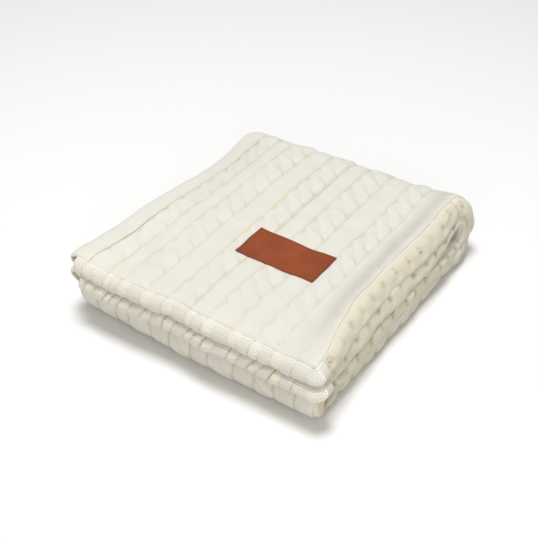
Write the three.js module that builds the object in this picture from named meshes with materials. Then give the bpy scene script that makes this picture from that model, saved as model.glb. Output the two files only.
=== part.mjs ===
// A knitted throw blanket, folded in four across its width and in four along its length.
// Millimetres. +X runs across the knitted columns, +Y along them, +Z up.
// The origin is on the floor, under the middle of the folded throw.
import * as THREE from 'three';

// The throw laid out flat.
const throwWidth = 1300;
const throwLength = 1500;
const hemLength = 20; // ribbed end, measured along the throw
const bandWidth = 18; // smooth knitted edge down each long side

// The cloth as it lies in the pile.
const plyPitch = 5.35; // middle of one ply to the middle of the next
const plyGap = 0.35; // air between two plies that lie on each other
const seamGap = 0.3; // air between two neighbouring sub-parts of the cloth
const lowerHemSetback = 3; // how far the lower end lies behind the upper one

// The leather patch on the top ply, and its sewing thread.
const patchLength = 106; // along X
const patchWidth = 54; // along Y
const patchThickness = 1.6;
const patchCornerRadius = 1;
const patchCentre = new THREE.Vector2(31, -49);
const patchSeat = 0.3; // air between the patch and the knit, and the thread and the patch
const stitchInset = 2.4; // patch edge to the middle of the thread
const threadThickness = 0.7;

// Worked out from the sizes above. The strip is the throw folded in four across its width.
const plyCount = 4;
const plyThickness = plyPitch - plyGap;
const stripThickness = plyCount * plyPitch;
const foldRadius = plyPitch / 2;
const foldReach = plyPitch - plyGap / 2; // how far a side fold stands out
const plyWidth = (throwWidth - 2 * foldReach) / plyCount - Math.PI * foldRadius * (plyCount - 1) / plyCount;
const endFoldCloth = 2.5 * Math.PI * stripThickness; // cloth taken up by the three end folds
const runShortfall = 10 * stripThickness - 3 * plyGap; // what the four straight runs stop short by
const pileDepth = (throwLength + lowerHemSetback + runShortfall - endFoldCloth) / 4;
const pileHeight = 4 * stripThickness - plyGap;

const UP = Math.PI / 2;
const DOWN = -Math.PI / 2;
const endFoldSteps = 12;
const sideFoldSteps = 6;

// ---- Lines made of stations: a point of the middle line, and the way the face side looks ----

function station(x, y, angle) {
  const normal = new THREE.Vector2(Math.cos(angle), Math.sin(angle));
  return { point: new THREE.Vector2(x, y), normal };
}

// A fold about a centre, from one face angle to another. Inside out, the face side is inside.
function fold(centreX, centreY, radius, from, to, steps, insideOut = false) {
  const reach = insideOut ? -radius : radius;
  const stations = [];
  for (let i = 0; i <= steps; i += 1) {
    const angle = from + (to - from) * i / steps;
    const x = centreX + reach * Math.cos(angle);
    const y = centreY + reach * Math.sin(angle);
    stations.push(station(x, y, angle));
  }
  return stations;
}

function lineLength(line) {
  let total = 0;
  for (let i = 1; i < line.length; i += 1) {
    total += line[i].point.distanceTo(line[i - 1].point);
  }
  return total;
}

function between(a, b, share) {
  const point = a.point.clone().lerp(b.point, share);
  const normal = a.normal.clone().lerp(b.normal, share).normalize();
  return { point, normal };
}

// The stretch of a line between two distances from its start.
function stretch(line, start, end) {
  const found = [];
  let walked = 0;
  for (let i = 1; i < line.length; i += 1) {
    const [a, b] = [line[i - 1], line[i]];
    const run = a.point.distanceTo(b.point);
    const at = (distance) => between(a, b, (distance - walked) / run);
    if (walked <= start && start < walked + run) {
      found.push(at(start));
    }
    if (walked < end && end <= walked + run) {
      found.push(at(end));
    } else if (start < walked + run && walked + run < end) {
      found.push(b);
    }
    walked += run;
  }
  return found;
}

// ---- Across the strip, seen from its start: X to the right, height above its middle upwards ----

const half = plyWidth / 2;
const plyHeight = (ply) => ((plyCount - 1) / 2 - ply) * plyPitch;

// The fold that joins a ply to the next, at -X and +X by turns.
function sideFold(ply) {
  const middle = (plyHeight(ply) + plyHeight(ply + 1)) / 2;
  return ply % 2 === 0
    ? fold(-half, middle, foldRadius, UP, UP + Math.PI, sideFoldSteps)
    : fold(half, middle, foldRadius, UP + Math.PI, UP, sideFoldSteps, true);
}

// The whole width of the cloth, from its first free edge to its second.
function clothLine() {
  const line = [station(half + foldReach, plyHeight(0), UP)];
  for (let ply = 0; ply + 1 < plyCount; ply += 1) {
    line.push(...sideFold(ply));
  }
  line.push(station(half + foldReach, plyHeight(plyCount - 1), DOWN));
  return line;
}

// A closed section: the cloth between two distances from its first free edge.
function clothSection(start, end) {
  const line = stretch(clothLine(), start, end);
  const offset = (side) => line.map((s) => (
    s.point.clone().addScaledVector(s.normal, side * plyThickness / 2)
  ));
  return [...offset(1), ...offset(-1).reverse()];
}

// ---- Along the strip, seen from +X: Y to the right, Z upwards ----

const frontY = -pileDepth / 2;
const farCentreY = pileDepth / 2 - 2 * stripThickness + plyGap / 2;
const nearCentreY = frontY + stripThickness - plyGap / 2;
const layerHeight = (layer) => (layer + 0.5) * stripThickness - plyGap / 2;
const joinHeight = (layer) => (layer + 1) * stripThickness - plyGap / 2;

// From the upper end over the far side, back underneath, and in again to the lower end.
function pileLine() {
  const outer = 1.5 * stripThickness;
  const inner = 0.5 * stripThickness;
  return [
    station(frontY, layerHeight(3), UP),
    ...fold(farCentreY, joinHeight(1), outer, UP, DOWN, endFoldSteps),
    ...fold(nearCentreY, joinHeight(0), inner, DOWN, DOWN - Math.PI, endFoldSteps),
    ...fold(farCentreY, joinHeight(1), inner, DOWN - Math.PI, DOWN, endFoldSteps, true),
    station(frontY + lowerHemSetback, layerHeight(2), DOWN),
  ];
}

// ---- Solids ----

// A section carried along stations. Its height is laid off along each station's normal.
function sweep(section, stations) {
  const count = section.length;
  const vertices = [];
  for (const { point, normal } of stations) {
    for (const corner of section) {
      vertices.push(corner.x, point.x + corner.y * normal.x, point.y + corner.y * normal.y);
    }
  }
  const faces = [];
  for (let i = 0; i + 1 < stations.length; i += 1) {
    for (let j = 0; j < count; j += 1) {
      const a = i * count + j;
      const b = i * count + (j + 1) % count;
      faces.push(a, a + count, b, b, a + count, b + count);
    }
  }
  const last = (stations.length - 1) * count;
  for (const [a, b, c] of THREE.ShapeUtils.triangulateShape(section, [])) {
    faces.push(a, b, c, last + c, last + b, last + a);
  }
  const geometry = new THREE.BufferGeometry();
  geometry.setAttribute('position', new THREE.Float32BufferAttribute(vertices, 3));
  geometry.setIndex(faces);
  geometry.computeVertexNormals();
  return geometry;
}

function roundedRectangle(length, width, radius) {
  const [x, y] = [length / 2, width / 2];
  const shape = new THREE.Shape();
  shape.absarc(x - radius, y - radius, radius, 0, UP);
  shape.absarc(radius - x, y - radius, radius, UP, Math.PI);
  shape.absarc(radius - x, radius - y, radius, Math.PI, Math.PI + UP);
  shape.absarc(x - radius, radius - y, radius, Math.PI + UP, 2 * Math.PI);
  return shape;
}

function slab(shape, thickness) {
  return new THREE.ExtrudeGeometry(shape, { depth: thickness, bevelEnabled: false, curveSegments: 6 });
}

// ---- The throw ----

const throwGroup = new THREE.Group();

function addPiece(name, geometry, colour, roughness = 0.95) {
  const material = new THREE.MeshStandardMaterial({ color: colour, roughness, metalness: 0 });
  const mesh = new THREE.Mesh(geometry, material);
  mesh.name = name;
  throwGroup.add(mesh);
  return mesh;
}

const pile = pileLine();
const pileEnd = lineLength(pile);
const body = stretch(pile, hemLength + seamGap, pileEnd - hemLength - seamGap);
const wholeWidth = lineLength(clothLine());
const sideFoldLength = lineLength(sideFold(0));
const plyRun = (ply) => (ply === 0 || ply === plyCount - 1 ? plyWidth + foldReach : plyWidth);

// The cloth's plies, its side folds and the smooth edges, in order across the throw.
function addCloth() {
  let across = 0;
  for (let ply = 0; ply < plyCount; ply += 1) {
    const first = ply === 0;
    const last = ply === plyCount - 1;
    const start = across + (first ? bandWidth + seamGap : seamGap / 2);
    across += plyRun(ply);
    const end = across - (last ? bandWidth + seamGap : seamGap / 2);
    addPiece(`knit_ply_${ply + 1}`, sweep(clothSection(start, end), body), 0xf0eee4);
    if (!last) {
      const bend = clothSection(across + seamGap / 2, across + sideFoldLength - seamGap / 2);
      addPiece(`knit_side_fold_${ply + 1}`, sweep(bend, body), 0xe6e2d2);
      across += sideFoldLength;
    }
  }
}

function addBands() {
  const first = clothSection(0, bandWidth);
  const second = clothSection(wholeWidth - bandWidth, wholeWidth);
  addPiece('smooth_edge_outer', sweep(first, body), 0xf5f3ec);
  addPiece('smooth_edge_inner', sweep(second, body), 0xf5f3ec);
}

function addHems() {
  const section = clothSection(0, wholeWidth);
  addPiece('rib_hem_upper', sweep(section, stretch(pile, 0, hemLength)), 0xeae8dd);
  addPiece('rib_hem_lower', sweep(section, stretch(pile, pileEnd - hemLength, pileEnd)), 0xeae8dd);
}

function addPatch() {
  const patch = slab(roundedRectangle(patchLength, patchWidth, patchCornerRadius), patchThickness);
  const leather = addPiece('leather_patch', patch, 0x9c4d30, 0.55);
  leather.position.set(patchCentre.x, patchCentre.y, pileHeight + patchSeat);

  const ring = (offset) => roundedRectangle(
    patchLength - 2 * stitchInset + offset,
    patchWidth - 2 * stitchInset + offset,
    patchCornerRadius + offset / 2,
  );
  const loop = ring(threadThickness);
  loop.holes.push(ring(-threadThickness));
  const thread = addPiece('patch_stitching', slab(loop, threadThickness), 0x7f3a22, 0.8);
  const patchTop = pileHeight + patchSeat + patchThickness;
  thread.position.set(patchCentre.x, patchCentre.y, patchTop + patchSeat);
}

addCloth();
addBands();
addHems();
addPatch();

export default throwGroup;
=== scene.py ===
import math

import bmesh
import bpy
import numpy as np
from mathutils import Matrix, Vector


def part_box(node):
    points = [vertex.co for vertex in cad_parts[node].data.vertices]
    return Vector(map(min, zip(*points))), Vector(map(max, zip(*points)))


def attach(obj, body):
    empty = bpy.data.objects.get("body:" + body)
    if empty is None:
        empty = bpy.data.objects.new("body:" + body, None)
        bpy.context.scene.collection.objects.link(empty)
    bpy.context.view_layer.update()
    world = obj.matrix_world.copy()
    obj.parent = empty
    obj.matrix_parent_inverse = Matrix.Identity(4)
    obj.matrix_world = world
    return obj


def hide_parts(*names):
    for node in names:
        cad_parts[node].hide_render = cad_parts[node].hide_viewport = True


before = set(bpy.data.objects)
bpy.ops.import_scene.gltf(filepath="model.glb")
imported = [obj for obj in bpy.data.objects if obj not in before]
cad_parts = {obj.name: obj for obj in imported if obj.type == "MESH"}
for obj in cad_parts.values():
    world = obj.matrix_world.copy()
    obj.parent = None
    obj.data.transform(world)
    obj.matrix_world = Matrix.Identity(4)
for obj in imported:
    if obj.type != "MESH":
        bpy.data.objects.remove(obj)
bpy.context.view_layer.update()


def boxMm(node):
    # shapes are worked out in millimetres and turned to metres when a mesh is made
    low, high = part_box(node)
    return np.array(low) * 1000, np.array(high) * 1000


plyLow, plyHigh = boxMm("knit_ply_1")
hemLow, hemHigh = boxMm("rib_hem_upper")
lowerLow, lowerHigh = boxMm("rib_hem_lower")
patchLow, patchHigh = boxMm("leather_patch")

left, right = hemLow[0], hemHigh[0]
front, far = plyLow[1], plyHigh[1]
top = plyHigh[2]
strip = hemLow[2] - lowerLow[2]  # four plies with the air between them
ply = strip / 4
edgeIn = 4.5  # the free edge of the first ply stands this far in from the right side


def ease(x, low, high):
    u = np.clip((np.asarray(x, float) - low) / (high - low), 0, 1)
    return u * u * (3 - 2 * u)


def bump(x, centre, width):
    return np.exp(-(((np.asarray(x, float) - centre) / width) ** 2))


def wander(x, seed, length, count=5):
    # a slow, smooth wave between about -1 and 1, the same in every run
    pick = np.random.default_rng(seed)
    total = np.zeros_like(np.asarray(x, float))
    for _ in range(count):
        wave = length * pick.uniform(0.6, 1.7)
        total = total + np.sin(2 * math.pi * x / wave + pick.uniform(0, 2 * math.pi))
    return total / count * 1.6


def wander2(x, y, seed, length, count=7):
    pick = np.random.default_rng(seed)
    total = np.zeros_like(np.asarray(x + y, float))
    for _ in range(count):
        turn = pick.uniform(0, 2 * math.pi)
        wave = length * pick.uniform(0.6, 1.6)
        total = total + np.sin(
            2 * math.pi * (x * math.cos(turn) + y * math.sin(turn)) / wave
            + pick.uniform(0, 2 * math.pi)
        )
    return total / count * 1.6


def splineThrough(points, step):
    # Catmull-Rom through given points, then even steps along it
    p = np.array(points, float)
    p = np.vstack([2 * p[0] - p[1], p, 2 * p[-1] - p[-2]])
    found = []
    for i in range(1, len(p) - 2):
        u = np.linspace(0, 1, 24, endpoint=False)[:, None]
        a, b, c, d = p[i - 1], p[i], p[i + 1], p[i + 2]
        square = 2 * a - 5 * b + 4 * c - d
        cube = 3 * b - a - 3 * c + d
        found.append(0.5 * (2 * b + (c - a) * u + square * u**2 + cube * u**3))
    line = np.vstack(found + [p[-2][None]])
    walked = np.concatenate([[0], np.cumsum(np.linalg.norm(np.diff(line, axis=0), axis=1))])
    at = np.linspace(0, walked[-1], max(2, int(walked[-1] / step)))
    return np.stack([np.interp(at, walked, line[:, k]) for k in range(line.shape[1])], axis=1)


# Across the strip: x, and the height above its middle. The face side of the first ply looks up.
across = {
    "step": 0.5,
    "wallIn": 2.2,  # the middle of the cloth at a side fold, in from the side of the box
    "lastEdge": 20.0,  # the other long edge ends this far in, inside the pile
}


def acrossLine():
    a = across
    n = [1.5 * ply, 0.5 * ply, -0.5 * ply, -1.5 * ply]
    h = a["wallIn"]
    points = [
        (right - edgeIn, n[0] - 1.6),
        (right - 9, n[0] + 0.5),
        (right - 20, n[0] + 0.9),
        (right - 60, n[0]),
        (0, n[0]),
        (left + 60, n[0]),
        (left + 24, n[0]),
        (left + 8, n[0] - 0.6),
        (left - 2, n[0] - 4.0),
        (left - 5, n[1] - 2.6),
        (left - 2, n[1] - 7.0),
        (left + 8, n[1] - 3.6),
        (left + 22, n[1]),
        (left + 60, n[1]),
        (0, n[1]),
        (right - 60, n[1]),
        (right - 30, n[1]),
        (right - 19, n[1] + 0.5),
        (right - 11.5, n[1] + 2.4),
        (right - 6.0, n[1] + 2.4),
        (right - h - 0.3, n[1] - 0.4),
        (right - h + 0.3, n[2] + 0.4),
        (right - h, n[3] + 0.4),
        (right - h - 0.7, n[3] - 1.6),
        (right - 7, n[3] - 2.6),
        (right - 15, n[3] - 0.6),
        (right - 28, n[2] - 1.4),
        (right - 44, n[2]),
        (right - 70, n[2]),
        (0, n[2]),
        (left + 60, n[2]),
        (left + 24, n[2] + 0.2),
        (left + 12, n[2] + 0.6),
        (left + h + 2.0, n[2] - 2.0),
        (left + h + 2.0, n[3] + 0.6),
        (left + 12, n[3] - 0.2),
        (left + 24, n[3]),
        (left + 60, n[3]),
        (0, n[3]),
        (right - 70, n[3]),
        (right - a["lastEdge"], n[3]),
    ]
    line = splineThrough(points, a["step"])
    way = np.gradient(line, axis=0)
    way /= np.linalg.norm(way, axis=1)[:, None]
    normal = np.stack([way[:, 1], -way[:, 0]], axis=1)  # on the face side: up on the first ply
    walked = np.concatenate([[0], np.cumsum(np.linalg.norm(np.diff(line, axis=0), axis=1))])
    return walked, line, normal


tLine, xnLine, xnNormal = acrossLine()
throwWidth = tLine[-1]


def tAt(x, plyIndex):
    # distance across the cloth where the given ply passes x
    middle = [1.5, 0.5, -0.5, -1.5][plyIndex] * ply
    near = np.abs(xnLine[:, 0] - x) + 3 * np.abs(xnLine[:, 1] - middle)
    return tLine[np.argmin(near)]


turnLeft1 = tLine[np.argmin(np.where(xnLine[:, 1] > -ply, xnLine[:, 0], 1e9))]
cut1 = tAt(left + 30, 1)
turnRight = tLine[np.argmax(np.where(tLine > cut1, xnLine[:, 0], -1e9))]
cut2 = tAt(right - 70, 2)
turnLeft2 = tLine[np.argmin(np.where(tLine > cut2, xnLine[:, 0], 1e9))]

# Along the strip: y, z and the way its face side looks.
along = {
    "step": 0.5,
    "seamBack": 7.0,  # the top ply meets its hem this far behind the front
    "innerBack": 4.0,  # the same for the ply that ends at the lower hem
    "noseBoxy": 0.72,  # 1 for a round front fold, less for a squarer one
    "noseReach": 0.86,
}


def alongLine():
    step = along["step"]
    farMid = far - 2 * strip
    nearMid = front + strip
    levels = [(i + 0.5) * strip for i in range(4)]
    rows = []

    def run(y0, y1, z, angle):
        count = max(2, int(abs(y1 - y0) / step))
        for y in np.linspace(y0, y1, count, endpoint=False):
            rows.append((y, z, angle))

    def turn(yMid, zMid, radius, a0, a1, boxy=1.0):
        count = max(8, int(abs(a1 - a0) * abs(radius) / step))
        for angle in np.linspace(a0, a1, count, endpoint=False):
            c, d = math.cos(angle), math.sin(angle)
            reach = radius * math.copysign(abs(c) ** boxy, c) * (1 if boxy == 1 else along["noseReach"])
            rows.append((yMid + reach, zMid + radius * d, angle))

    up = math.pi / 2
    marks = [0]
    run(front + along["seamBack"], farMid, levels[3], up)
    marks.append(len(rows))
    turn(farMid, 2 * strip, 1.5 * strip, up, -up)
    marks.append(len(rows))
    run(farMid, nearMid, levels[0], -up)
    marks.append(len(rows))
    turn(nearMid, strip, 0.5 * strip, -up, -3 * up, along["noseBoxy"])
    marks.append(len(rows))
    run(nearMid, farMid, levels[1], -3 * up)
    marks.append(len(rows))
    turn(farMid, 2 * strip, -0.5 * strip, -3 * up, -up)
    marks.append(len(rows))
    run(farMid, front + along["innerBack"], levels[2], -up)
    marks.append(len(rows) - 1)
    rows = np.array(rows)
    walked = np.concatenate([[0], np.cumsum(np.hypot(*np.diff(rows[:, :2], axis=0).T))])
    return walked, rows, [walked[i] for i in marks]


sLine, yzLine, marks = alongLine()
sTop, sFar, sUnder, sFrontTurn, sInnerIn, sInnerTurn, sInnerOut, sEnd = marks
throwLength = sEnd
farMid = far - 2 * strip
nearMid = front + strip

loose = {
    "pocketDeep": 0.36,  # how much of its thickness the strip gives up round the slit at the far end
    "pocketLong": 62.0,
    "noseDeep": 0.36,  # the same at the fold that shows in front
    "noseLong": 34.0,
    "wallPressed": 0.12,  # the plies in the right side's folds press together
    "slitClosed": 0.55,  # how far the slit between the middle layers closes, away from the far end
    "slitIn": 12.0,  # and how far its edges draw in
    "seamDip": 3.0,  # the first ply dips to the seam where the hem is joined
}


def placeOnPile(x, n, s, t):
    y = np.interp(s, sLine, yzLine[:, 0])
    z = np.interp(s, sLine, yzLine[:, 1])
    angle = np.interp(s, sLine, yzLine[:, 2])
    inner = s > (sInnerIn + sInnerTurn) / 2
    deep = np.where(
        inner,
        loose["pocketDeep"] * ease(y, farMid - loose["pocketLong"], farMid + 2),
        loose["noseDeep"] * ease(-y, -(nearMid + loose["noseLong"]), -nearMid) * (s > sUnder),
    )
    inNose = (s > sUnder) & (s < sInnerIn + 40) & (y < nearMid + 40)
    inWall = ease(x, right - 24, right - 8) * bump(t, turnRight, 24)
    n = n * (1 + loose["wallPressed"] * inWall * np.where(inNose, 0, 1))
    closed = np.where((s > sUnder) & ~inNose, 1 - ease(y, farMid - 85, farMid - 50), 0)
    n = n * (1 + loose["slitClosed"] * closed * inWall * (n > 0))
    x = x - loose["slitIn"] * closed * (1 - ease(t, 0, 50))
    base = np.where(inner, -strip / 2, strip / 2)
    n = base + (n - base) * (1 - deep)
    # each lying layer is pushed a little aside, so the folds don't stack in one line
    shift = np.interp(s, [0, sFar, sUnder, sFrontTurn, sInnerIn, sInnerTurn, sInnerOut, sEnd],
                      [0, 0, -0.5, -2.2, -2.6, -2.0, -1.4, -1.2])
    shift = shift + 0.9 * wander(s, 31, 160)
    px = x + shift * ease(np.abs(x), 60, right)
    # the free edge of the top ply wanders over the shoulder
    onTop = s < sUnder
    edgeShift = np.interp(s, [0, 30, 75, 140, 290, 350, 420], [-1, -2, -6, -7, -7, -5, -3])
    edgeShift = edgeShift + 1.0 * wander(s, 52, 70)
    px = px + np.where(onTop, edgeShift * (1 - ease(t, -8, 34)), 0)
    # the wall on the right swells between top and floor
    wall = bump(t, turnRight, 26)
    px = px + wall * (1.6 * wander(s, 53, 110) + 1.2)
    dip = loose["seamDip"] * (1 - ease(s, -6, 13)) * ease(-np.abs(t), -cut1 - 20, -cut1)
    z = z - np.where(s < 40, dip, 0)
    py = y + n * np.cos(angle)
    pz = z + n * np.sin(angle)
    return px, py, pz


pile = {
    # how the whole pile has settled, in mm
    "sag": 1.3,
    "smallSag": 0.5,
    "ripple": 0.75,
    "cornerDrop": 5.0,  # the right front corner lies lower
    "setBack": 9.0,  # the lowest layers stand back at the left front
    "swell": 3.0,  # the right side, between top and floor
    "flareHigh": 11.0,  # the top layers reach out at the left front
    "flareLow": 6.0,
    "waist": 8.0,  # and draw in halfway along the left side
    "farRightLift": 8.0,
    "frontLeftLift": 4.0,
    "farLeftDrop": 2.0,
    "patchDip": 2.2,
    # the right side leans in towards the top by this much, from front to back
    "leanAt": [-190, -150, -80, 60, 140, 190],
    "lean": [2, 6, 14, 15, 13, 6],
    "tableGap": 0.1,
}


def settle(px, py, pz):
    high = ease(pz, 0, top)
    sag = pile["sag"] * wander2(px, py, 5, 190) + pile["smallSag"] * wander2(px, py, 6, 70)
    corner = pile["cornerDrop"] * ease(px, 60, right) * ease(-py, 60, -front)
    folds = pile["ripple"] * wander2(px, py, 12, 46) * ease(pz, strip * 3, top)
    pz = pz + high * (sag - corner) + folds
    low = 1 - ease(pz, strip, 2 * strip)
    py = py + pile["setBack"] * ease(-px, -20, right) * ease(-py, 60, -front) * low
    py = py + 1.6 * wander(px, 8, 120) * ease(-py, 120, -front) * high
    px = px + 2.0 * wander(py, 9, 170) * ease(np.abs(px), 80, right) * high
    atLeft, atRight = ease(-px, 100, -left), ease(px, 70, right)
    px = px + pile["swell"] * ease(px, right - 30, right) * np.sin(math.pi * np.clip(pz / top, 0, 1))
    lean = np.interp(py, pile["leanAt"], pile["lean"])
    px = px - lean * ease(pz, 34, top + 4) * ease(px, right - 50, right - 8)
    px = px - pile["flareHigh"] * atLeft * ease(-py, -10, -front) * high
    px = px - pile["flareLow"] * atLeft * ease(-py, 50, -front) * (1 - high)
    px = px + pile["waist"] * atLeft * bump(py, 60, 70) * high
    farRight = pile["farRightLift"] * atRight * ease(py, 90, far)
    frontLeft = pile["frontLeftLift"] * atLeft * ease(-py, 90, -front)
    pz = pz + high * (farRight + frontLeft)
    pz = pz - pile["farLeftDrop"] * high * ease(-px, 0, -left) * ease(py, 60, far)
    pz = pz - pile["patchDip"] * high * bump(px, 45, 18) * bump(py, -45, 60)
    return px, py, np.maximum(pz, pile["tableGap"])


print("the cloth is", round(throwWidth), "by", round(throwLength), "mm as it lies in its folds")

knit = {
    # column borders across the cloth, from the free edge: band, then rib and cable by turns
    "borders": [22, 50, 77, 105, 139, 163, 195, 224, 257, 276, 301, 330, 357],
    "grooveDeep": [1.6, 1.2, 1.2, 1.3, 1.3, 1.9, 2.2, 1.3, 1.5, 2.4, 2.6, 1.6, 1.4],
    "pitch": 27.9,
    "crossing": 27.0,  # one strand over the other, along the cloth
    "cableHigh": 3.0,
    "ribHigh": 1.5,
    "ground": 0.9,  # the mean height of the face above the cloth's own thickness
    "thick": 2.6,
    "dimpleDeep": 4.4,
}

# the columns go on evenly over the rest of the cloth
borders = list(knit["borders"])
while borders[-1] < throwWidth + 60:
    borders.append(borders[-1] + knit["pitch"])
borders = np.array(borders, float)
grooves = np.array(knit["grooveDeep"] + [1.4] * (len(borders) - len(knit["grooveDeep"])))


def columnOf(t):
    i = np.clip(np.searchsorted(borders, t) - 1, -1, len(borders) - 2)
    low = np.where(i < 0, 0, borders[np.maximum(i, 0)])
    high = np.where(i < 0, borders[0], borders[np.maximum(i, 0) + 1])
    return i, low, high


def alongPly(t, s):
    # the outer ply has further to go round a fold, and gives it back where it lies hidden
    turned = np.interp(s, [sFar, sUnder, sFrontTurn, sInnerIn, sInnerTurn], [0, math.pi, 0, math.pi, 0])
    return s + 1.5 * ply * turned * (1 - ease(t, 150, turnLeft1 - 5))


def faceRelief(t, s, knitted):
    wavy = t + 0.9 * wander2(t * 0.5, s, 61, 75) * ease(t, 14, 30)
    i, low, high = columnOf(wavy)
    wide = high - low
    x = wavy - (low + high) / 2
    isCable = (i >= 0) & (i % 2 == 1)
    isRib = (i >= 0) & (i % 2 == 0)
    # rib: a flat-topped ridge with fine wales
    u = np.clip(np.abs(x) / (wide / 2), 0, 1)
    stretched = ease(s, sFrontTurn - 30, sFrontTurn) * (1 - ease(s, sInnerIn, sInnerIn + 25))
    rib = knit["ribHigh"] * (1 - u**4) + (0.2 + 0.3 * stretched) * np.cos(2 * math.pi * x / 3.6)
    # cable: two strands that wind round each other
    pick = (i * 7919 % 13) / 13.0
    turn = math.pi * (knitted / knit["crossing"] + pick) + 0.35 * wander(knitted + 40 * i, 17, 150)
    side = np.cos(turn)  # the strands lie side by side for most of the way and change places quickly
    sway = 0.205 * wide * side / np.sqrt(side**2 + 0.6) * 1.26
    crossing = 0.3 / (side**2 + 0.3)  # 1 where one strand lies over the other
    radius = 0.29 * wide * (1 + 0.12 * crossing)
    lift = -0.95 * np.sin(turn)

    def strand(middle, raised):
        off = x - middle
        crown = 2.5 * np.sqrt(np.clip(1 - (off / radius) ** 2, 0, 1))
        return np.where(np.abs(off) < radius, raised + crown + 0.12 * np.cos(2 * math.pi * off / 3.1), -0.6)

    rope = np.maximum(strand(sway, lift), strand(-sway, -lift)) * knit["cableHigh"] / 3.0
    nubs = 0.5 * np.cos(2 * math.pi * t / 4.0) * np.cos(2 * math.pi * knitted / 4.0)
    rib = rib + np.where((i == 0) & (np.abs(x) < wide * 0.27), nubs - 0.3, 0)
    height = np.where(isCable, rope, np.where(isRib, rib, knit["ground"]))
    # the smooth edge: a low bead at its rim
    height = np.where(i < 0, 0.8 + 0.7 * bump(t, 3.2, 1.8), height)
    # a purl channel on each side of a column
    for k in range(len(borders) - 1):
        near = np.abs(wavy - borders[k]) < 9
        if near.any():
            fold = grooves[k] * (1 + 0.3 * wander(s, 200 + k, 80))
            height = height - np.where(near, fold * bump(wavy, borders[k], 1.7), 0)
    # smoothed down by hand near the front, and flatter round the front fold and at the seam
    calm = 0.58 + 0.42 * ease(s, 50, 230)
    calm = calm * (1 - 0.1 * stretched) * (0.25 + 0.75 * ease(s, 0, 16))
    height = knit["ground"] + (height - knit["ground"]) * calm
    return height - pressed(t, s, height)


def pressed(t, s, height):
    # the patch holds the knit down
    inside = 0.85
    for place, k in ((right - edgeIn - t, 0), (front + along["seamBack"] + s, 1)):
        inside = inside * ease(place, patchLow[k] - 4, patchLow[k] + 1)
        inside = inside * ease(-place, -patchHigh[k] - 4, -patchHigh[k] + 1)
    return np.where(s < sFar, inside * (height - knit["ground"]), 0)


def backRelief(t, s):
    # the other side: purl ground, with a hollow behind each crossing of a cable
    height = 0.5 + 0.35 * np.cos(2 * math.pi * t / 9.3) * wander(s, 3, 60)
    drift = np.where(s < sUnder, -4, np.where(s < sInnerIn, -2, np.where(s < sInnerTurn, -4, 1)))
    for offset in (-knit["pitch"], 0, knit["pitch"]):
        row = turnRight + offset + drift + 1.5 * wander(s, 71, 60)
        phase = (s + 9 * (offset != 0) + 3 * wander(s, 72, 90)) / knit["crossing"]
        off = (phase - np.round(phase)) * knit["crossing"]
        hollow = np.exp(-((off / 4.4) ** 2) - ((t - row - 0.4 * off) / 4.6) ** 2)
        uneven = np.clip(0.78 + 0.4 * wander(s + 3 * offset, 74, 34), 0.25, 1.15)
        height = height - knit["dimpleDeep"] * uneven * hollow
        height = height + 0.9 * np.exp(-((off / 9) ** 2) - ((np.abs(t - row) - 8) / 3) ** 2)
    return height


def mixedSamples(spans):
    # spans of (start, end, spacing), joined; the count of gaps is a multiple of four in all
    found = []
    for start, end, spacing in spans:
        count = max(4, int(round((end - start) / spacing / 4)) * 4)
        found.append(np.linspace(start, end, count, endpoint=False))
    found.append(np.array([spans[-1][1]]))
    return np.concatenate(found)


def meshFrom(name, points, faces, uv, values, flatFaces=0):
    # four-sided faces, the last flatFaces of them flat-shaded
    me = bpy.data.meshes.new(name)
    me.vertices.add(len(points))
    me.vertices.foreach_set("co", (np.asarray(points, np.float32) / 1000).ravel())
    flat = faces.ravel()
    me.loops.add(len(flat))
    me.loops.foreach_set("vertex_index", flat.astype(np.int32))
    me.polygons.add(len(faces))
    me.polygons.foreach_set("loop_start", np.arange(len(faces), dtype=np.int32) * 4)
    me.polygons.foreach_set("loop_total", np.full(len(faces), 4, np.int32))
    me.polygons.foreach_set("use_smooth", np.arange(len(faces)) < len(faces) - flatFaces)
    layer = me.uv_layers.new(name="clothMap")
    layer.data.foreach_set("uv", (np.asarray(uv, np.float32) / 1000)[flat].ravel())
    for key, value in values.items():
        made = me.attributes.new(key, "FLOAT", "POINT")
        made.data.foreach_set("value", np.asarray(value, np.float32))
    me.update()
    me.validate()
    ob = bpy.data.objects.new(name, me)
    bpy.context.scene.collection.objects.link(ob)
    return ob


def creases(height):
    # 1 in the bottom of a narrow crease, 0 on open ground; it sets where shade is painted into the colour
    padded = np.pad(height, 2, mode="edge")
    around = (padded[4:, 2:-2] + padded[:-4, 2:-2] + padded[2:-2, 4:] + padded[2:-2, :-4]) / 4
    return np.clip((around - height) / 0.9, 0, 1)


def shellFaces(rows, cols):
    # two grids of points, one behind the other, joined round the rim
    index = np.arange(rows * cols).reshape(rows, cols)
    a, b = index[:-1, :-1].ravel(), index[1:, :-1].ravel()
    c, d = index[1:, 1:].ravel(), index[:-1, 1:].ravel()
    total = rows * cols
    ring = np.concatenate([index[:-1, 0], index[-1, :-1], index[:0:-1, -1], index[0, :0:-1]])
    after = np.roll(ring, -1)
    quads = np.concatenate([
        np.stack([a, d, c, b], axis=1),
        np.stack([a, b, c, d], axis=1) + total,
        np.stack([ring, after, after + total, ring + total], axis=1),
    ])
    return quads, total, len(ring)


def facingOut(ob):
    # turns the faces over if the solid is inside out
    work = bmesh.new()
    work.from_mesh(ob.data)
    if work.calc_volume(signed=True) < 0:
        bmesh.ops.reverse_faces(work, faces=work.faces)
    work.to_mesh(ob.data)
    work.free()
    return ob


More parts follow.
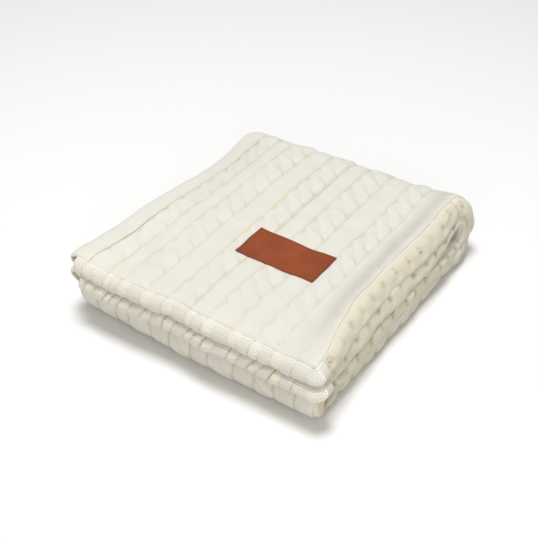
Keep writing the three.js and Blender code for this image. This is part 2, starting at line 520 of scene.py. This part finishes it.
def clothPiece(name, tList, sList):
    # a closed piece of cloth: both sides in full, sewn together round the rim
    t, s = np.meshgrid(tList, sList, indexing="ij")
    x = np.interp(t, tLine, xnLine[:, 0])
    n = np.interp(t, tLine, xnLine[:, 1])
    nx = np.interp(t, tLine, xnNormal[:, 0])
    nn = np.interp(t, tLine, xnNormal[:, 1])
    size = np.hypot(nx, nn)
    nx, nn = nx / size, nn / size
    knitted = alongPly(t, s)
    face = faceRelief(t, s, knitted)
    back = backRelief(t, s)
    # the rim is rounded
    edge = np.minimum(np.minimum(t, throwWidth - t), np.minimum(s, throwLength - s))
    rim = np.sqrt(np.clip(1 - (1 - np.clip(edge / 2.4, 0, 1)) ** 2, 0.02, 1))
    out = (knit["thick"] / 2 + face) * rim
    into = (knit["thick"] / 2 + back) * rim
    sides = []
    for reach in (out, -into):
        px, py, pz = placeOnPile(x + nx * reach, n + nn * reach, s, t)
        px, py, pz = settle(px, py, pz)
        sides.append(np.stack([px, py, pz], axis=-1).reshape(-1, 3))
    quads, total, rimCount = shellFaces(*t.shape)
    uv = np.tile(np.stack([t.ravel(), knitted.ravel()], axis=1), (2, 1))
    # painted shade: the yarn colour is darkened in the hollows and creases, more so on the side that shows
    # in front
    facePaintedShade = np.clip((1.2 - face) / 5.0, 0, 0.6) + np.where(s > sUnder, 0.9, 0.3) * creases(face)
    backPaintedShade = np.clip((0.3 - back) / 8, 0, 0.5) + 0.4 * creases(back)
    paintedShadeAndEdgeTone = np.concatenate([facePaintedShade.ravel(), backPaintedShade.ravel()])
    purl = np.concatenate([np.zeros(total), np.ones(total)])
    made = meshFrom(name, np.concatenate(sides), quads, uv, {"paintedShadeAndEdgeTone": paintedShadeAndEdgeTone, "purl": purl}, rimCount)
    made["flatWide"] = float(tList[-1] - tList[0]) / 1000
    made["flatLong"] = float(sList[-1] - sList[0]) / 1000
    return facingOut(made)


cloth = []
fine = 1.35  # mm between points where the cloth shows


def makeCloth():
    def add(name, tList, *sSpans):
        cloth.append(clothPiece("knit_" + name, tList, mixedSamples(sSpans)))

    # the ply that shows; its top is in three widths that meet in the grooves
    topT = mixedSamples([(0, cut1, fine)])
    cuts = [0, np.searchsorted(topT, borders[5]), np.searchsorted(topT, borders[10]), len(topT) - 1]
    for label, a, b in zip(("right", "middle", "left"), cuts, cuts[1:]):
        add("top_" + label, topT[a:b + 1], (0, sFar, fine))
    add("far_turn", topT, (sFar, sUnder, 1.8))
    underT = mixedSamples([(0, 24, 3), (24, cut1 - 60, 3.5), (cut1 - 60, cut1, 2.5)])
    add("underside", underT, (sUnder, sFrontTurn - 20, 4.0))
    add("front_turn", topT, (sFrontTurn - 20, sInnerIn + 25, fine))
    # the same ply further in, where only its sides show
    inT = mixedSamples([(0, 30, 1.8), (30, turnLeft1 - 30, 11), (turnLeft1 - 30, cut1, 1.8)])
    add("inner_run_1", inT, (sInnerIn + 25, sInnerTurn, 2.0))
    add("inner_run_2", inT, (sInnerTurn, sEnd, 2.0))
    # the three plies inside the strip
    deepT = mixedSamples([
        (cut1, turnRight - 70, 14),
        (turnRight - 70, turnRight - 34, 4),
        (turnRight - 34, turnRight + 34, 1.6),
        (turnRight + 34, cut2 + 14, 5),
        (cut2 + 14, turnLeft2 - 28, 14),
        (turnLeft2 - 28, turnLeft2 + 24, 1.8),
        (turnLeft2 + 24, throwWidth - 12, 14),
        (throwWidth - 12, throwWidth, 2.0),
    ])
    stops = [4, sFar, sUnder, sFrontTurn, sInnerIn, sInnerTurn, sEnd]
    labels = ["upper", "far_turn", "lowest", "front_turn", "inner_1", "inner_2"]
    for label, start, end in zip(labels, stops, stops[1:]):
        add("plies_" + label, deepT, (start, end, 1.7))


makeCloth()
print("cloth made,", len(cloth), "pieces and", sum(len(o.data.polygons) for o in cloth), "faces")

# The hems' profiles go from the seam down the front: out from the plies, and up from the hem's top.
hem = {
    "thick": 2.4,
    "ribHigh": 1.6,
    "purlShare": 0.46,  # of each column, the part with its purl side out
    "notch": {"upper": 1.3, "lower": 2.3},
    "cornerRadius": 7.0,
    "round": 12.0,  # how far the hem goes round the right corner
    "upper": [
        (11, -7.6), (8.2, -4.8), (4, -3.6), (-0.6, -5.0), (-3.6, -9.0),
        (-4.4, -13.5), (-3.0, -16.6), (0.6, -19.6), (5.0, -20.6),
    ],
    "lower": [
        (6.0, -1.6), (0.6, -1.4), (-3.8, -3.8), (-6.4, -8.5),
        (-6.4, -12.5), (-4.0, -17.0), (0.6, -19.8), (7.0, -20.6),
    ],
}


def hemRelief(t, v, slant, seed, notch):
    t = t - slant * (v - 16) + 1.2 * wander(v, seed + 3, 30) * wander(t, seed + 4, 60)
    t = np.clip(t, 0, None)
    i, low, high = columnOf(t)
    w = (t - low) / (high - low)
    purlShare = hem["purlShare"]
    isPurl = w > 1 - purlShare
    mid = (1 - purlShare) / 2
    plain = hem["ribHigh"] * np.sqrt(np.clip(1 - np.abs((w - mid) / (mid + 0.02)) ** 3, 0, 1))
    sunk = np.sqrt(np.clip(1 - np.abs((w - 1 + purlShare / 2) / purlShare * 2) ** 4, 0, 1))
    height = np.where(isPurl, sunk, plain)
    for k in range(len(borders) - 1):
        near = np.abs(t - borders[k]) < 8
        height = height - np.where(near, notch * bump(t, borders[k], 1.4), 0)
    height = height - 0.45 * notch * bump(w, 1 - purlShare, 0.05)
    height = np.where(i < 0, 0.9, height)
    return height, isPurl & (i >= 0)


def hemPiece(name, profile, zTop, leftEnd, seed, slant, notch):
    # the hem hangs over the ends of the plies and turns the right corner
    corner, radius = right - hem["cornerRadius"], hem["cornerRadius"]
    straight = corner - leftEnd
    arc = radius * math.pi / 2
    u = mixedSamples([(0, straight + arc + hem["round"], 1.0)])
    side = splineThrough(profile, 1.0)
    side = side[np.linspace(0, len(side) - 1, 33).round().astype(int)]
    way = np.gradient(side, axis=0)
    way /= np.linalg.norm(way, axis=1)[:, None]
    out = np.stack([way[:, 1], -way[:, 0]], axis=1)  # away from the pile
    uu, row = np.meshgrid(u, np.arange(len(side)), indexing="ij")
    angle = np.clip((uu - straight) / arc, 0, 1) * math.pi / 2
    past = np.clip(uu - straight - arc, 0, None)
    planX = leftEnd + np.minimum(uu, straight) + radius * np.sin(angle)
    planY = front + radius * (1 - np.cos(angle)) + past
    outX, outY = np.sin(angle), -np.cos(angle)
    t = right - edgeIn - (planX + past + radius * angle * 0.4)
    reach, rise = side[row, 0], side[row, 1]
    relief, isPurl = hemRelief(t, row, slant, seed, notch)
    relief = relief * (1 + 0.35 * wander(t, seed + 5, 40))
    rimU = np.minimum(uu, u[-1] - uu)
    rimV = np.minimum(row, len(side) - 1 - row) * 1.0
    rim = np.sqrt(np.clip(1 - (1 - np.clip(np.minimum(rimU, rimV) / 2.0, 0, 1)) ** 2, 0.03, 1))
    sides = []
    drop = 0.8 * wander(planX, seed, 60)
    for off in ((hem["thick"] / 2 + relief) * rim, -hem["thick"] / 2 * rim):
        waver = 1.4 * wander(uu, seed + 7, 110) * np.sin(math.pi * row / (len(side) - 1))
        away = -reach - off * out[row, 0] + waver
        px = planX + outX * away
        py = planY + outY * away
        pz = zTop + rise + off * out[row, 1] + drop
        sides.append(np.stack(settle(px, py, pz), axis=-1).reshape(-1, 3))
    uv = np.stack([t.ravel(), (row * 1.0).ravel()], axis=1)
    # painted shade: the rib's colour is darkened in its hollows and creases
    paintedShadeAndEdgeTone = np.clip((0.5 - relief) / 3.0, 0, 0.6).ravel() + 0.55 * creases(relief).ravel()
    quads, total, _ = shellFaces(*uu.shape)
    made = meshFrom(name, np.concatenate(sides), quads, np.tile(uv, (2, 1)), {
        "paintedShadeAndEdgeTone": np.concatenate([paintedShadeAndEdgeTone, paintedShadeAndEdgeTone]),
        "purl": np.concatenate([isPurl.ravel().astype(float), np.ones(total)]),
    })
    made["flatWide"] = float(u[-1]) / 1000
    made["flatLong"] = float(np.linalg.norm(np.diff(side, axis=0), axis=1).sum()) / 1000
    return facingOut(made)


hemUpper = hemPiece("hem_upper", hem["upper"], 4 * strip, left + 10, 41, 0.15, hem["notch"]["upper"])
hemLower = hemPiece("hem_lower", hem["lower"], 3 * strip, left + 16, 42, 0.5, hem["notch"]["lower"])
print("hems made")

patch = {
    "thick": 1.5,
    "corner": 1.2,
    "rise": 1.5,  # its top above the mean face of the knit
    "stitchInset": 2.2,
    "stitchLong": 2.6,
    "stitchGap": 1.1,
    "stitchThick": 0.55,
}


def clothTop(x, y):
    # the height of the knit under the patch, smoothed as leather bridges it
    total, weight = 0, 0
    for dx in np.linspace(-14, 14, 9):
        for dy in np.linspace(-10, 10, 5):
            w = math.exp(-((dx / 9) ** 2) - (dy / 8) ** 2)
            t = right - edgeIn - (x + dx) + 0.6
            s = y + dy - front - along["seamBack"]
            total = total + w * faceRelief(t, s, s)
            weight += w
    return total / weight


def patchHeight(x, y):
    z = top - ply / 2 + knit["thick"] / 2 + clothTop(x, y)
    px, py, pz = settle(x, y, z)
    return pz


def patchPiece():
    xs = np.linspace(patchLow[0], patchHigh[0], 107)
    ys = np.linspace(patchLow[1], patchHigh[1], 55)
    x, y = np.meshgrid(xs, ys, indexing="ij")
    # rounded corners: points past the corner circle are drawn in to it
    r = patch["corner"]
    cx = np.clip(x, patchLow[0] + r, patchHigh[0] - r)
    cy = np.clip(y, patchLow[1] + r, patchHigh[1] - r)
    far0 = np.hypot(x - cx, y - cy)
    pull = np.where(far0 > r, r / np.maximum(far0, 1e-6), 1)
    x, y = cx + (x - cx) * pull, cy + (y - cy) * pull
    base = patchHeight(x, y)
    edge = np.minimum(x - patchLow[0], patchHigh[0] - x)
    edge = np.minimum(edge, np.minimum(y - patchLow[1], patchHigh[1] - y))
    lip = 0.32 * (1 - ease(edge, 0, 1.6))
    dent = 0.30 * bump(edge, patch["stitchInset"], 0.9)
    topZ = base + patch["rise"] - lip - dent
    lowZ = topZ - patch["thick"] + lip
    sides = [np.stack([x, y, topZ], -1).reshape(-1, 3), np.stack([x, y, lowZ], -1).reshape(-1, 3)]
    quads, total, _ = shellFaces(*x.shape)
    edgeValue = np.clip(1 - edge / 1.4, 0, 1).ravel()
    uv = np.stack([x.ravel(), y.ravel()], axis=1)
    made = meshFrom("leather_patch_skin", np.concatenate(sides), quads, np.tile(uv, (2, 1)),
                    {"paintedShadeAndEdgeTone": np.concatenate([edgeValue, np.ones(total)]), "purl": np.zeros(2 * total)})
    return facingOut(made)


patchSkin = patchPiece()


def pathObject(name, points):
    curve = bpy.data.curves.new(name, "CURVE")
    curve.dimensions = "3D"
    line = curve.splines.new("POLY")
    line.points.add(len(points) - 1)
    flat = np.concatenate([np.asarray(points) / 1000, np.ones((len(points), 1))], axis=1)
    line.points.foreach_set("co", flat.ravel())
    ob = bpy.data.objects.new(name, curve)
    bpy.context.scene.collection.objects.link(ob)
    return ob


def stitchTree(name, material):
    # stitches along a path: an input for each size, and a capsule on every resampled point
    tree = bpy.data.node_groups.new(name, "GeometryNodeTree")
    face = tree.interface
    face.new_socket("Geometry", in_out="INPUT", socket_type="NodeSocketGeometry")
    for label, value in [("Spacing", 0.003), ("Length", 0.0025), ("Thickness", 0.0006), ("Uneven", 0.1)]:
        made = face.new_socket(label, in_out="INPUT", socket_type="NodeSocketFloat")
        made.default_value = value
    face.new_socket("Geometry", in_out="OUTPUT", socket_type="NodeSocketGeometry")
    start = addNode(tree, "NodeGroupInput")
    spaced = addNode(tree, "GeometryNodeResampleCurve", {"Curve": start.outputs["Geometry"]}, mode="LENGTH")
    tree.links.new(start.outputs["Spacing"], spaced.inputs["Length"])
    stitch = addNode(tree, "GeometryNodeMeshUVSphere", {"Radius": start.outputs["Thickness"]},
                     in_Segments=8, in_Rings=6)
    tangent = addNode(tree, "GeometryNodeInputTangent")
    turned = addNode(tree, "FunctionNodeAlignRotationToVector", {"Vector": tangent.outputs["Tangent"]},
                     axis="X")
    chance = addNode(tree, "FunctionNodeRandomValue", data_type="FLOAT", in_Seed=5)
    spread = addNode(tree, "ShaderNodeMath", {0: start.outputs["Uneven"]}, operation="MULTIPLY_ADD")
    spread.inputs[1].default_value = 1.0
    spread.inputs[2].default_value = 1.0
    small = addNode(tree, "ShaderNodeMath", {1: start.outputs["Uneven"]}, operation="SUBTRACT")
    small.inputs[0].default_value = 1.0
    tree.links.new(small.outputs[0], chance.inputs[2])
    tree.links.new(spread.outputs[0], chance.inputs[3])
    ratio = addNode(tree, "ShaderNodeMath", {0: start.outputs["Length"], 1: start.outputs["Thickness"]},
                    operation="DIVIDE")
    half = addNode(tree, "ShaderNodeMath", {0: ratio.outputs[0]}, operation="MULTIPLY")
    half.inputs[1].default_value = 0.5
    long = addNode(tree, "ShaderNodeMath", {0: half.outputs[0], 1: chance.outputs[1]}, operation="MULTIPLY")
    scale = addNode(tree, "ShaderNodeCombineXYZ", {"X": long.outputs[0]}, in_Y=1.0, in_Z=0.8)
    placed = addNode(tree, "GeometryNodeInstanceOnPoints", {
        "Points": spaced.outputs["Curve"],
        "Instance": stitch.outputs["Mesh"],
        "Rotation": turned.outputs["Rotation"],
        "Scale": scale.outputs["Vector"],
    })
    real = addNode(tree, "GeometryNodeRealizeInstances", {"Geometry": placed.outputs["Instances"]})
    smoothed = addNode(tree, "GeometryNodeSetShadeSmooth", {"Geometry": real.outputs["Geometry"]})
    painted = addNode(tree, "GeometryNodeSetMaterial", {"Geometry": smoothed.outputs["Geometry"]})
    painted.inputs["Material"].default_value = material
    end = addNode(tree, "NodeGroupOutput")
    tree.links.new(painted.outputs["Geometry"], end.inputs["Geometry"])
    return tree


def alongPath(name, points, tree, material, **sizes):
    # runs a stitch tree on a path and keeps the result as a plain mesh
    carrier = pathObject(name + "_path", points)
    modifier = carrier.modifiers.new("stitches", "NODES")
    modifier.node_group = tree
    for item in tree.interface.items_tree:
        if item.in_out == "INPUT" and item.name in sizes:
            modifier[item.identifier] = sizes[item.name]
    seen = carrier.evaluated_get(bpy.context.evaluated_depsgraph_get())
    me = bpy.data.meshes.new_from_object(seen)
    me.name = name
    bpy.data.objects.remove(carrier)
    ob = bpy.data.objects.new(name, me)
    bpy.context.scene.collection.objects.link(ob)
    if not me.materials:
        me.materials.append(material)
    return ob


def linear(hexColour):
    found = []
    for k in (0, 2, 4):
        v = int(hexColour[k:k + 2], 16) / 255
        found.append(v / 12.92 if v <= 0.04045 else ((v + 0.055) / 1.055) ** 2.4)
    return (*found, 1.0)


def addNode(tree, kind, links=None, **settings):
    node = tree.nodes.new(kind)
    for key, value in settings.items():
        if key.startswith("in_"):
            node.inputs[key[3:].replace("_", " ")].default_value = value
        else:
            setattr(node, key, value)
    for socket, source in (links or {}).items():
        tree.links.new(source, node.inputs[socket])
    return node


def newMaterial(name):
    made = bpy.data.materials.new(name)
    made.use_nodes = True
    tree = made.node_tree
    tree.nodes.clear()
    shader = tree.nodes.new("ShaderNodeBsdfPrincipled")
    out = tree.nodes.new("ShaderNodeOutputMaterial")
    tree.links.new(shader.outputs["BSDF"], out.inputs["Surface"])
    return made, tree, shader


def mathNode(tree, operation, a, b=None, c=None):
    node = addNode(tree, "ShaderNodeMath", operation=operation)
    for k, value in enumerate((a, b, c)):
        if value is None:
            continue
        if isinstance(value, (int, float)):
            node.inputs[k].default_value = value
        else:
            tree.links.new(value, node.inputs[k])
    return node.outputs[0]


yarn = {
    "wale": 2.7,  # mm from one column of stitches to the next
    "course": 2.1,  # mm from one row to the next
    "stitchDeep": 1.7,
    "light": "FDFCF7",
    # the darker cream is painted shade in hollows, creases, stitch gaps and on the purl side, and also the
    # random slub tone
    "deep": "DDD0A8",
}


def knitMaterial(name, stitchDeep, purlPaintedShade):
    # cotton yarn, knitted: each stitch is a small V and a purl stitch a small arc; matt, slightly fluffy
    made, tree, shader = newMaterial(name)
    place = addNode(tree, "ShaderNodeUVMap", uv_map="clothMap")
    split = addNode(tree, "ShaderNodeSeparateXYZ", {"Vector": place.outputs["UV"]})
    wale = mathNode(tree, "MULTIPLY", split.outputs["X"], 1000 / yarn["wale"])
    course = mathNode(tree, "MULTIPLY", split.outputs["Y"], 1000 / yarn["course"])
    inWale = mathNode(tree, "FRACT", wale)
    fromMid = mathNode(tree, "ABSOLUTE", mathNode(tree, "SUBTRACT", inWale, 0.5))
    slant = mathNode(tree, "MULTIPLY_ADD", fromMid, 1.5, course)
    leg = mathNode(tree, "COSINE", mathNode(tree, "MULTIPLY", slant, 2 * math.pi))
    rounded = mathNode(tree, "SINE", mathNode(tree, "MULTIPLY", fromMid, 2 * math.pi))
    vStitch = mathNode(tree, "MULTIPLY", mathNode(tree, "MULTIPLY_ADD", leg, 0.35, 0.65), rounded)
    sway = mathNode(tree, "COSINE", mathNode(tree, "MULTIPLY", wale, 2 * math.pi))
    arcPlace = mathNode(tree, "MULTIPLY_ADD", sway, 0.22, course)
    arc = mathNode(tree, "COSINE", mathNode(tree, "MULTIPLY", arcPlace, 2 * math.pi))
    purlStitch = mathNode(tree, "MULTIPLY_ADD", arc, 0.42, 0.42)
    purl = addNode(tree, "ShaderNodeAttribute", attribute_name="purl")
    stitch = addNode(tree, "ShaderNodeMix", {"Factor": purl.outputs["Fac"], "A": vStitch, "B": purlStitch},
                     data_type="FLOAT")
    spot = addNode(tree, "ShaderNodeTexCoord").outputs["Object"]
    fluff = addNode(tree, "ShaderNodeTexNoise", {"Vector": spot}, in_Scale=900.0, in_Detail=3.0)
    slub = addNode(tree, "ShaderNodeTexNoise", {"Vector": spot}, in_Scale=55.0, in_Detail=2.0)
    height = mathNode(tree, "MULTIPLY_ADD", fluff.outputs["Fac"], 0.35, stitch.outputs["Result"])
    bumped = addNode(tree, "ShaderNodeBump", {"Height": height},
                     in_Strength=0.8, in_Distance=stitchDeep / 1000)
    tree.links.new(bumped.outputs["Normal"], shader.inputs["Normal"])
    # painted shade: the colour darkens towards the darker cream in hollows and creases and on the purl side
    paintedShadeAndEdgeTone = addNode(tree, "ShaderNodeAttribute", attribute_name="paintedShadeAndEdgeTone")
    turned = addNode(tree, "ShaderNodeMapRange", {"Value": purl.outputs["Fac"]},
                     in_From_Min=0.7, in_To_Max=purlPaintedShade)
    deep = mathNode(tree, "MULTIPLY_ADD", paintedShadeAndEdgeTone.outputs["Fac"], 0.45, turned.outputs["Result"])
    patchy = mathNode(tree, "MULTIPLY_ADD", slub.outputs["Fac"], 0.24, -0.08)
    # painted shade in the gaps between stitches; the sum below is painted shade plus the random slub tone
    stitchGapShade = mathNode(tree, "MULTIPLY_ADD", stitch.outputs["Result"], -0.5, 0.36)
    paintedShadeAndSlub = mathNode(tree, "ADD", mathNode(tree, "ADD", deep, patchy), stitchGapShade)
    colour = addNode(tree, "ShaderNodeMix", {"Factor": paintedShadeAndSlub}, data_type="RGBA")
    colour.inputs["A"].default_value = linear(yarn["light"])
    colour.inputs["B"].default_value = linear(yarn["deep"])
    tree.links.new(colour.outputs["Result"], shader.inputs["Base Color"])
    rough = mathNode(tree, "MULTIPLY_ADD", fluff.outputs["Fac"], 0.12, 0.84)
    tree.links.new(rough, shader.inputs["Roughness"])
    shader.inputs["IOR"].default_value = 1.5
    shader.inputs["Specular IOR Level"].default_value = 0.25
    shader.inputs["Sheen Weight"].default_value = 0.15
    shader.inputs["Sheen Roughness"].default_value = 0.6
    return made


def leatherMaterial():
    # veg-tanned cowhide, dyed and pressed flat: fine pebble grain, darker cut edges, a soft satin shine
    made, tree, shader = newMaterial("cowhide leather tan")
    spot = addNode(tree, "ShaderNodeTexCoord").outputs["Object"]
    grain = addNode(tree, "ShaderNodeTexVoronoi", {"Vector": spot}, feature="DISTANCE_TO_EDGE",
                    in_Scale=1000 / 1.1)
    wide = addNode(tree, "ShaderNodeTexNoise", {"Vector": spot}, in_Scale=28.0, in_Detail=4.0)
    fineGrain = addNode(tree, "ShaderNodeTexNoise", {"Vector": spot}, in_Scale=1500.0, in_Detail=3.0)
    edge = addNode(tree, "ShaderNodeAttribute", attribute_name="paintedShadeAndEdgeTone")
    mixed = addNode(tree, "ShaderNodeMix", {"Factor": wide.outputs["Fac"]}, data_type="RGBA")
    mixed.inputs["A"].default_value = linear("702C0C")
    mixed.inputs["B"].default_value = linear("974818")
    edged = addNode(tree, "ShaderNodeMix", {
        "Factor": mathNode(tree, "MULTIPLY", edge.outputs["Fac"], 0.7),
        "A": mixed.outputs["Result"],
    }, data_type="RGBA")
    edged.inputs["B"].default_value = linear("5E2A18")
    tree.links.new(edged.outputs["Result"], shader.inputs["Base Color"])
    cell = mathNode(tree, "MINIMUM", grain.outputs["Distance"], 0.25)
    pebble = mathNode(tree, "MULTIPLY", cell, 4.0)
    height = mathNode(tree, "MULTIPLY_ADD", fineGrain.outputs["Fac"], 0.3, pebble)
    bumped = addNode(tree, "ShaderNodeBump", {"Height": height}, in_Strength=0.5, in_Distance=0.00012)
    tree.links.new(bumped.outputs["Normal"], shader.inputs["Normal"])
    rough = mathNode(tree, "MULTIPLY_ADD", wide.outputs["Fac"], 0.16, 0.42)
    tree.links.new(rough, shader.inputs["Roughness"])
    shader.inputs["IOR"].default_value = 1.5
    shader.inputs["Specular IOR Level"].default_value = 0.35
    return made


def threadMaterial(name, raised, sunk):
    # twisted thread: shade painted into the grooves of its twist, with a slight shine across it
    made, tree, shader = newMaterial(name)
    spot = addNode(tree, "ShaderNodeTexCoord").outputs["Object"]
    twist = addNode(tree, "ShaderNodeTexWave", {"Vector": spot}, in_Scale=1000 / 0.9, in_Distortion=1.0)
    twistShade = mathNode(tree, "MULTIPLY", twist.outputs["Fac"], 0.35)
    tone = addNode(tree, "ShaderNodeMix", {"Factor": twistShade}, data_type="RGBA")
    tone.inputs["A"].default_value = linear(raised)
    tone.inputs["B"].default_value = linear(sunk)
    tree.links.new(tone.outputs["Result"], shader.inputs["Base Color"])
    bumped = addNode(tree, "ShaderNodeBump", {"Height": twist.outputs["Fac"]},
                     in_Strength=0.4, in_Distance=0.0001)
    tree.links.new(bumped.outputs["Normal"], shader.inputs["Normal"])
    shader.inputs["Roughness"].default_value = 0.6
    return made


# the last number is how much shade is painted onto the purl side
creamKnit = knitMaterial("cotton cable knit cream", yarn["stitchDeep"], 0.33)
creamRib = knitMaterial("cotton rib knit cream", yarn["stitchDeep"] * 1.2, 0.12)
leather = leatherMaterial()
# the second colour of each thread is its painted shade in the grooves of the twist
brownThread = threadMaterial("sewing thread brown", "6B3421", "3A1A10")
creamThread = threadMaterial("knit edge yarn cream", "F2EDDF", "CFC4A4")

for ob in cloth:
    ob.data.materials.append(creamKnit)
for ob in (hemUpper, hemLower):
    ob.data.materials.append(creamRib)
patchSkin.data.materials.append(leather)


def patchStitches():
    inset = patch["stitchInset"]
    x0, x1 = patchLow[0] + inset, patchHigh[0] - inset
    y0, y1 = patchLow[1] + inset, patchHigh[1] - inset
    corners = [(x0, y0), (x1, y0), (x1, y1), (x0, y1), (x0, y0)]
    points = []
    for (xa, ya), (xb, yb) in zip(corners, corners[1:]):
        count = int(math.hypot(xb - xa, yb - ya))
        for k in range(count):
            x, y = xa + (xb - xa) * k / count, ya + (yb - ya) * k / count
            points.append((x, y, float(patchHeight(np.array(x), np.array(y))) + patch["rise"] - 0.1))
    points.append(points[0])
    tree = stitchTree("patch stitches", brownThread)
    return alongPath("patch_stitches", points, tree, brownThread,
                     Spacing=(patch["stitchLong"] + patch["stitchGap"]) / 1000,
                     Length=patch["stitchLong"] / 1000, Thickness=patch["stitchThick"] / 2000, Uneven=0.08)


stitches = patchStitches()


def clothPoint(t, s, reach):
    # a point on the cloth, or a little out from it
    x = np.interp(t, tLine, xnLine[:, 0]) + reach * np.interp(t, tLine, xnNormal[:, 0])
    n = np.interp(t, tLine, xnLine[:, 1]) + reach * np.interp(t, tLine, xnNormal[:, 1])
    return np.stack(settle(*placeOnPile(x, n, s, t)), axis=-1)


chain = {"spacing": 2.3, "long": 3.1, "thick": 1.9}


def rimChain():
    # the slipped stitches that finish the free edge of the cloth
    s = np.arange(3.0, sUnder - 6, 1.2)
    points = clothPoint(np.full_like(s, 0.5), s, 0.3)
    tree = stitchTree("rim stitches", creamThread)
    return alongPath("rim_chain", points, tree, creamThread, Spacing=chain["spacing"] / 1000,
                     Length=chain["long"] / 1000, Thickness=chain["thick"] / 2000, Uneven=0.12)


edgeChain = rimChain()
print("patch and stitches made")

view = {
    "azimuth": 34.0,
    "elevation": 38.2,
    "distance": 1265.0,
    "lens": 70.0,
    "target": (-2.6, -34.0, 39.0),
}


def aim(ob, target):
    back = ob.location - target
    ob.rotation_euler = back.to_track_quat("Z", "Y").to_euler()


def makeCamera():
    a, e = math.radians(view["azimuth"]), math.radians(view["elevation"])
    back = Vector((math.sin(a) * math.cos(e), -math.cos(a) * math.cos(e), math.sin(e)))
    target = Vector(view["target"]) / 1000
    data = bpy.data.cameras.new("camera")
    data.lens = view["lens"]
    data.sensor_width = 36
    ob = bpy.data.objects.new("camera", data)
    ob.location = target + back * view["distance"] / 1000
    aim(ob, target)
    bpy.context.scene.collection.objects.link(ob)
    bpy.context.scene.camera = ob


studio = {
    "floor": "E6E6E6",
    "sky": 0.42,
    "lights": [
        # name, place, size, power, colour
        ("key", (-0.05, -0.1, 2.4), 0.9, 47, (1.0, 1.0, 1.0)),
        ("fill", (0.85, -1.5, 0.85), 1.4, 10.5, (1.0, 0.94, 0.8)),
    ],
}


def makeStage():
    mesh = bpy.data.meshes.new("floor")
    mesh.from_pydata([(-8, -8, 0), (8, -8, 0), (8, 8, 0), (-8, 8, 0)], [], [(0, 1, 2, 3)])
    floor = bpy.data.objects.new("floor", mesh)
    bpy.context.scene.collection.objects.link(floor)
    made, tree, shader = newMaterial("studio floor")
    shader.inputs["Base Color"].default_value = linear(studio["floor"])
    shader.inputs["Roughness"].default_value = 1
    shader.inputs["Specular IOR Level"].default_value = 0
    mesh.materials.append(made)
    world = bpy.data.worlds.new("studio")
    bpy.context.scene.world = world
    world.use_nodes = True
    world.node_tree.nodes["Background"].inputs["Color"].default_value = (1, 1, 1, 1)
    world.node_tree.nodes["Background"].inputs["Strength"].default_value = studio["sky"]
    for name, place, size, power, colour in studio["lights"]:
        data = bpy.data.lights.new(name, "AREA")
        data.shape = "DISK"
        data.size = size
        data.energy = power
        data.color = colour
        ob = bpy.data.objects.new(name, data)
        ob.location = Vector(place)
        aim(ob, Vector((0, 0, 0.05)))
        bpy.context.scene.collection.objects.link(ob)
    bpy.context.scene.view_settings.view_transform = "Standard"


makeCamera()
makeStage()

plyNodes = ["knit_ply_1", "knit_ply_2", "knit_ply_3", "knit_ply_4",
            "knit_side_fold_1", "knit_side_fold_2", "knit_side_fold_3",
            "smooth_edge_outer", "smooth_edge_inner"]


def declare():
    for ob in cloth:
        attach(ob, "root")
    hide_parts(*plyNodes)
    for ob, node in ((hemUpper, "rib_hem_upper"), (hemLower, "rib_hem_lower")):
        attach(ob, "root")
        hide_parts(node)
    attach(patchSkin, "root")
    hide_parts("leather_patch")
    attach(stitches, "root")
    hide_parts("patch_stitching")
    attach(edgeChain, "root")


declare()
print("finished")
